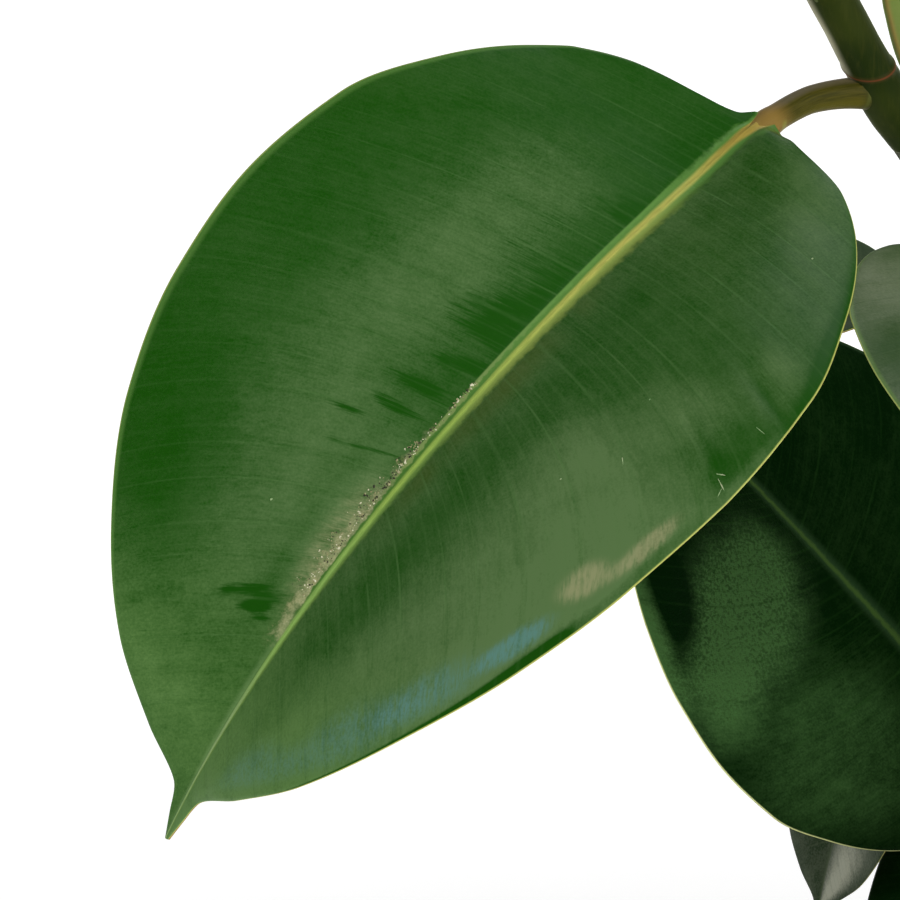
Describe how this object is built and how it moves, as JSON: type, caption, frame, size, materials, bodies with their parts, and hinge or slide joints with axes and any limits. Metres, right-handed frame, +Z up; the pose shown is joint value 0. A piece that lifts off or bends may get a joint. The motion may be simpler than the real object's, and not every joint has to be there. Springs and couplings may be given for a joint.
{
  "type": "potted rubber plant",
  "caption": "Rubber plant in a tapered clay pot: leaning stems rise from the soil and carry broad glossy leaves with drip tips on short stalks, and each stem ends in a pointed red sheath.",
  "frame": {"origin": "centre of the pot's flat underside", "axes": "+Z up; -Y is the side that the picture looks from, with the large leaf of the picture to -X"},
  "size_m": [0.6458, 0.6204, 0.9167],
  "materials": {
    "clay": "matt, unglazed",
    "compost": "rough and damp",
    "bark": "satin",
    "sheath": "satin",
    "leaf": "glossy above, matt below"
  },
  "bodies": {
    "root": {"pot": "clay", "soil": "compost", "stem_a": "bark", "stem_b": "bark", "stem_c": "bark", "sheath_a": "sheath", "sheath_b": "sheath", "sheath_c": "sheath", "leaf_a1": "leaf", "leaf_a2": "leaf", "leaf_a3": "leaf", "leaf_a4": "leaf", "leaf_a5": "leaf", "leaf_a6": "leaf", "leaf_a7": "leaf", "leaf_a8": "leaf", "leaf_a9": "leaf", "leaf_a10": "leaf", "leaf_b1": "leaf", "leaf_b2": "leaf", "leaf_b3": "leaf", "leaf_b4": "leaf", "leaf_b5": "leaf", "leaf_b6": "leaf", "leaf_b7": "leaf", "leaf_b8": "leaf", "leaf_c1": "leaf", "leaf_c2": "leaf", "leaf_c3": "leaf", "leaf_c4": "leaf", "leaf_c5": "leaf", "leaf_c6": "leaf", "leaf_c7": "leaf", "leaf_c8": "leaf"}
  },
  "joints": []
}
